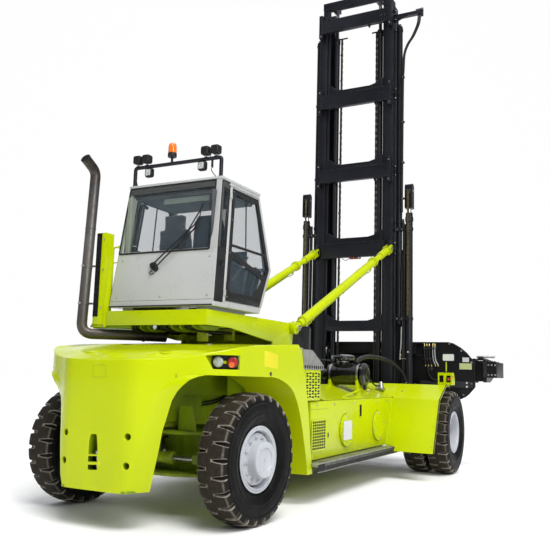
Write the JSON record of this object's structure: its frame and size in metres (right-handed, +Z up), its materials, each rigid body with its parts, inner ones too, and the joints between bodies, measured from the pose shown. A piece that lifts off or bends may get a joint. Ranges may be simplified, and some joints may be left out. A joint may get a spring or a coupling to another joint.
{
  "type": "container handler",
  "caption": "Rear-steered empty-container handler with a raised cab, a two-stage lifting mast, tilt cylinders and a side-shifting telescopic spreader.",
  "frame": {"origin": "on the ground, under the centre of the whole machine's bounding box at rest; the truck's own centre plane is at y = -0.5 m, because the spreader is parked 0.5 m to the left", "axes": "+X forwards, towards the mast; +Y to the machine's left; +Z up"},
  "size_m": [8.4, 6.06, 9.16],
  "materials": {
    "lime_paint": "gloss",
    "cab_white": "gloss",
    "charcoal_paint": "satin",
    "black_paint": "satin",
    "frame_dark": "satin",
    "rim_grey": "satin",
    "tyre": "matt",
    "exhaust_steel": "heat-tinted",
    "galvanised": "galvanised",
    "chromed_rod": "polished",
    "black_plastic": "matt",
    "glass": "clear, tinted",
    "seat_fabric": "woven",
    "cast_iron": "dark"
  },
  "bodies": {
    "chassis": {"main_frame": "lime_paint", "drive_axle": "lime_paint", "steer_axle": "lime_paint", "steer_cylinder": "black_paint", "counterweight": "lime_paint", "rear_body": "lime_paint", "tow_pin": "cast_iron", "rear_fenders": "lime_paint", "engine_hood": "lime_paint", "engine": "cast_iron", "side_tanks": "lime_paint", "step_boxes": "lime_paint", "step_treads": "galvanised", "front_fenders": "lime_paint", "running_boards": "galvanised", "marker_stands": "lime_paint", "air_cleaner": "black_plastic", "air_cleaner_stand": "lime_paint", "cab_tower": "lime_paint", "exhaust": "exhaust_steel", "handrail": "lime_paint", "cab_floor": "cab_white", "cab_roof": "cab_white", "cab_rear_wall": "cab_white", "cab_frame": "cab_white", "cab_glass": "glass", "seat": "seat_fabric", "steering_column": "black_plastic", "roof_lamps": "charcoal_paint"},
    "steering_rod": {"steering_rod": "chromed_rod"},
    "knuckle_right": {"knuckle_right": "cast_iron"},
    "knuckle_left": {"knuckle_left": "cast_iron"},
    "rear_wheel_right": {"rear_tyre_right": "tyre", "rear_rim_right": "rim_grey"},
    "rear_wheel_left": {"rear_tyre_left": "tyre", "rear_rim_left": "rim_grey"},
    "front_wheels_right": {"front_tyres_right": "tyre", "front_rims_right": "rim_grey"},
    "front_wheels_left": {"front_tyres_left": "tyre", "front_rims_left": "rim_grey"},
    "door_right": {"door_right": "black_plastic", "door_glass_right": "glass"},
    "door_left": {"door_left": "black_plastic", "door_glass_left": "glass"},
    "mast": {"mast_rails": "charcoal_paint", "mast_crossmembers": "charcoal_paint", "lift_barrels": "charcoal_paint", "side_cylinders": "charcoal_paint", "hose_arm": "charcoal_paint"},
    "inner_mast": {"inner_rails": "charcoal_paint", "inner_crossmembers": "charcoal_paint", "lift_rods": "chromed_rod"},
    "carriage": {"carriage": "black_paint"},
    "spreader": {"spreader_frame": "black_paint"},
    "telescope_right": {"telescope_right": "black_paint"},
    "telescope_left": {"telescope_left": "black_paint"},
    "tilt_barrel_right": {"tilt_barrel_right": "lime_paint"},
    "tilt_rod_right": {"tilt_rod_right": "lime_paint"},
    "tilt_barrel_left": {"tilt_barrel_left": "lime_paint"},
    "tilt_rod_left": {"tilt_rod_left": "lime_paint"}
  },
  "joints": [
    {"name": "steer_right", "type": "hinge", "parent": "chassis", "child": "knuckle_right", "pos_m": [-3.1, -1.36, 0.685], "axis": [0, 0, 1], "range_deg": [-55.42, 64.58]},
    {"name": "steer_left", "type": "hinge", "parent": "chassis", "child": "knuckle_left", "pos_m": [-3.1, 0.36, 0.685], "axis": [0, 0, 1], "range_deg": [-55.42, 64.58]},
    {"name": "steering_rod_slide", "type": "slide", "parent": "chassis", "child": "steering_rod", "axis": [0, 1, 0], "range_m": [-0.23, 0.23]},
    {"name": "rear_right_spin", "type": "hinge", "parent": "knuckle_right", "child": "rear_wheel_right", "pos_m": [-3.12467, -1.66801, 0.685], "axis": [0.0799, 0.9968, 0], "continuous": true},
    {"name": "rear_left_spin", "type": "hinge", "parent": "knuckle_left", "child": "rear_wheel_left", "pos_m": [-3.07533, 0.66801, 0.685], "axis": [0.0799, 0.9968, 0], "continuous": true},
    {"name": "front_right_spin", "type": "hinge", "parent": "chassis", "child": "front_wheels_right", "pos_m": [2.525, -2.121, 0.685], "axis": [0, 1, 0], "continuous": true},
    {"name": "front_left_spin", "type": "hinge", "parent": "chassis", "child": "front_wheels_left", "pos_m": [2.525, 1.121, 0.685], "axis": [0, 1, 0], "continuous": true},
    {"name": "door_right_hinge", "type": "hinge", "parent": "chassis", "child": "door_right", "pos_m": [-2.98053, -1.24511, 2.385], "axis": [0.1336, 0.0453, 0.99], "range_deg": [-85, 0]},
    {"name": "door_left_hinge", "type": "hinge", "parent": "chassis", "child": "door_left", "pos_m": [-2.98053, 0.24511, 2.385], "axis": [0.1336, -0.0453, 0.99], "range_deg": [0, 85]},
    {"name": "mast_tilt", "type": "hinge", "parent": "chassis", "child": "mast", "pos_m": [2.9, -0.5, 0.62], "axis": [0, 1, 0], "range_deg": [-5, 5]},
    {"name": "tilt_barrel_right_swing", "type": "hinge", "parent": "chassis", "child": "tilt_barrel_right", "pos_m": [-1.215, -1.245, 2.194], "axis": [0, 1, 0], "range_deg": [-2, 2]},
    {"name": "tilt_barrel_left_swing", "type": "hinge", "parent": "chassis", "child": "tilt_barrel_left", "pos_m": [-1.215, 0.245, 2.194], "axis": [0, 1, 0], "range_deg": [-2, 2]},
    {"name": "tilt_rod_right_slide", "type": "slide", "parent": "tilt_barrel_right", "child": "tilt_rod_right", "axis": [0.9133, 0, 0.4073], "range_m": [-0.29, 0.29]},
    {"name": "tilt_rod_left_slide", "type": "slide", "parent": "tilt_barrel_left", "child": "tilt_rod_left", "axis": [0.9133, 0, 0.4073], "range_m": [-0.29, 0.29]},
    {"name": "inner_mast_lift", "type": "slide", "parent": "mast", "child": "inner_mast", "axis": [0, 0, 1], "range_m": [0, 7.1]},
    {"name": "carriage_lift", "type": "slide", "parent": "inner_mast", "child": "carriage", "axis": [0, 0, 1], "range_m": [0, 7.1]},
    {"name": "spreader_side_shift", "type": "slide", "parent": "carriage", "child": "spreader", "axis": [0, 1, 0], "range_m": [-1.1, 0.1]},
    {"name": "telescope_right_slide", "type": "slide", "parent": "spreader", "child": "telescope_right", "axis": [0, -1, 0], "range_m": [0, 3.066]},
    {"name": "telescope_left_slide", "type": "slide", "parent": "spreader", "child": "telescope_left", "axis": [0, 1, 0], "range_m": [0, 3.066]}
  ],
  "couplings": [
    {"joint": "steer_left", "follows": "steer_right", "ratio": 1},
    {"joint": "steering_rod_slide", "follows": "steer_right", "m_per_rad": -0.2},
    {"joint": "tilt_barrel_right_swing", "follows": "mast_tilt", "ratio": 0.2728},
    {"joint": "tilt_barrel_left_swing", "follows": "mast_tilt", "ratio": 0.2728},
    {"joint": "tilt_rod_right_slide", "follows": "mast_tilt", "m_per_rad": 3.1136},
    {"joint": "tilt_rod_left_slide", "follows": "mast_tilt", "m_per_rad": 3.1136},
    {"joint": "carriage_lift", "follows": "inner_mast_lift", "ratio": 1},
    {"joint": "telescope_left_slide", "follows": "telescope_right_slide", "ratio": 1}
  ]
}
